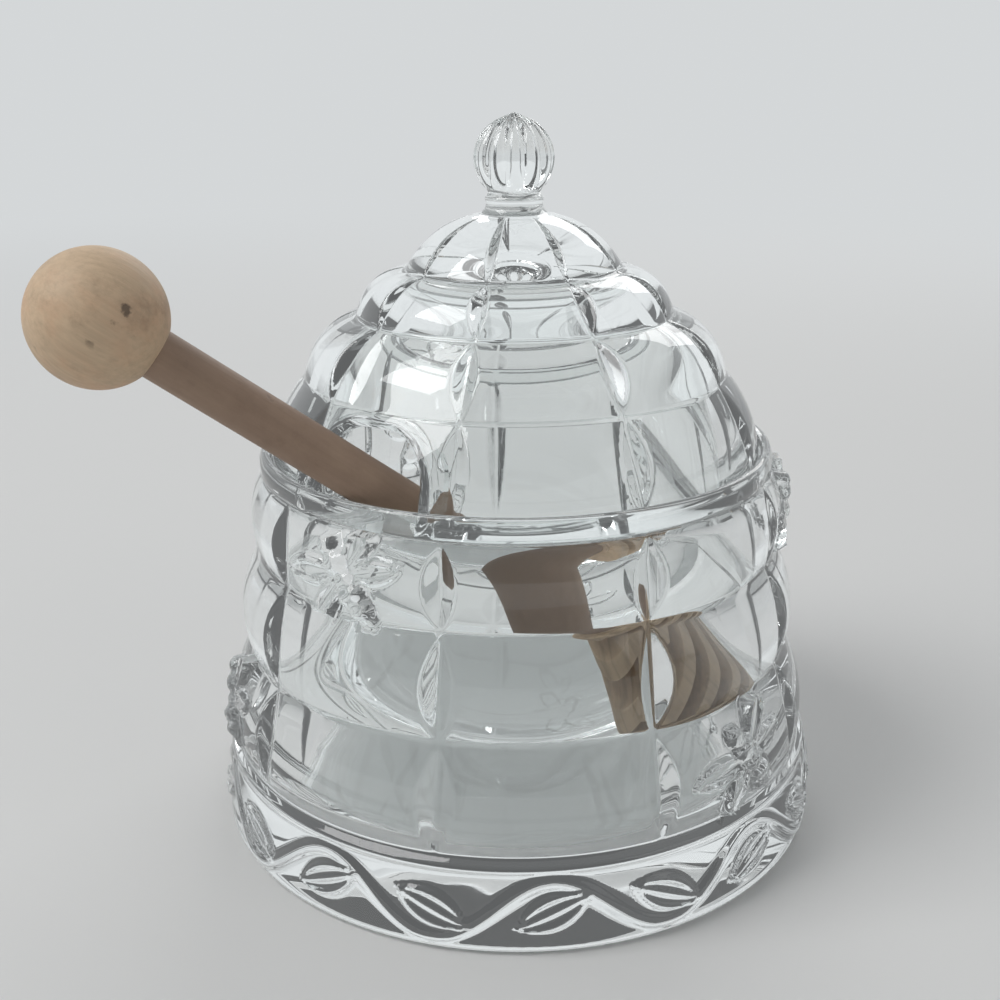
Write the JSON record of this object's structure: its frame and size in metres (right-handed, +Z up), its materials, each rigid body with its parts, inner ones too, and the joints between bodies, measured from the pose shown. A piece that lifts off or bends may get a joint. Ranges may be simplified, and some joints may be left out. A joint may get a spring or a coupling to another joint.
{
  "type": "honey pot with lift-off lid and dipper",
  "caption": "Pressed-glass beehive honey pot with a notched lift-off domed lid and a wooden dipper leaning in it.",
  "frame": {"origin": "middle of the flat base that the pot stands on, at the table", "axes": "+Z up; the picture looks along +Y, with +X to its right"},
  "size_m": [0.1305, 0.1166, 0.129],
  "materials": {
    "glass": "clear pressed crystal, fire polished",
    "ball_wood": "bare turned birch, worn by handling",
    "stick_wood": "bare dowel, darkened",
    "head_wood": "bare turned wood with ring grooves"
  },
  "bodies": {
    "pot": {"pot": "glass"},
    "lid": {"lid": "glass"},
    "dipper": {"dipper_ball": "ball_wood", "dipper_stick": "stick_wood", "dipper_head": "head_wood"}
  },
  "joints": [
    {"name": "lid_lift", "type": "slide", "parent": "pot", "child": "lid", "axis": [0, 0, 1], "range_m": [0, 0.06]},
    {"name": "dipper_draw", "type": "slide", "parent": "pot", "child": "dipper", "axis": [-0.7735, -0.2072, 0.599], "range_m": [0, 0.028]}
  ]
}
